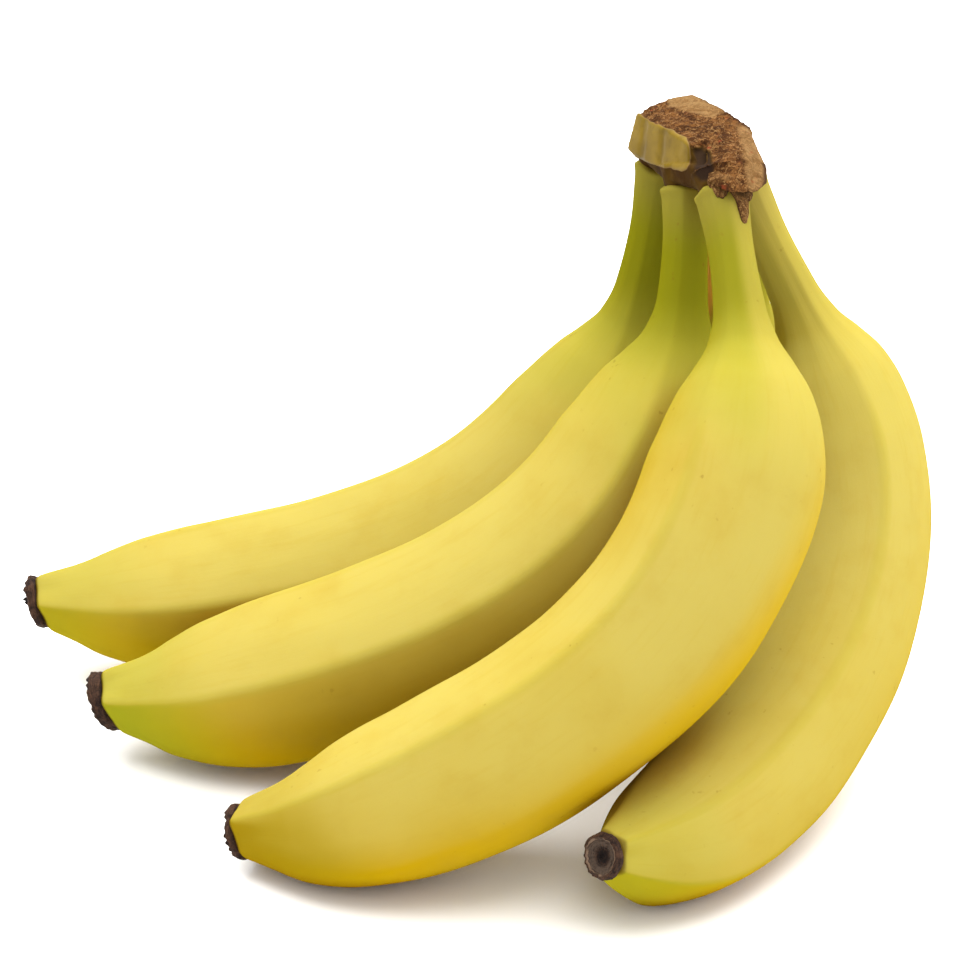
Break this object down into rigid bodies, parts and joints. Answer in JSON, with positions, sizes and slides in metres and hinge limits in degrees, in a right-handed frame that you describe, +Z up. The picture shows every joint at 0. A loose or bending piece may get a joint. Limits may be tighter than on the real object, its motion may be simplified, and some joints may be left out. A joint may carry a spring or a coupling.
{
  "type": "bunch of bananas",
  "caption": "Hand of ripe curved bananas joined at a cut brown crown, with slim green necks, soft ridges along the fruit and dried dark blossom ends; it lies on its bellies.",
  "frame": {"origin": "under the centre of the bunch's box, on the surface that it lies on", "axes": "+Z up; +X to the right in the front view, away from most of the tips; +Y away from the viewer"},
  "size_m": [0.2166, 0.1846, 0.1475],
  "materials": {
    "peel": "ripe banana peel, satin yellow with pale lit faces, ochre lower faces and green at the neck and the end",
    "cut_stalk": "dried fibrous cut stalk, tan to dark brown, with a facet of olive skin",
    "dried_tip": "rough dried blossom end, near black brown"
  },
  "bodies": {
    "root": {"crown": "cut_stalk", "banana_1": "peel", "banana_2": "peel", "banana_3": "peel", "banana_4": "peel", "banana_5": "peel", "blossom_tip_1": "dried_tip", "blossom_tip_2": "dried_tip", "blossom_tip_3": "dried_tip", "blossom_tip_4": "dried_tip", "blossom_tip_5": "dried_tip"}
  },
  "joints": []
}
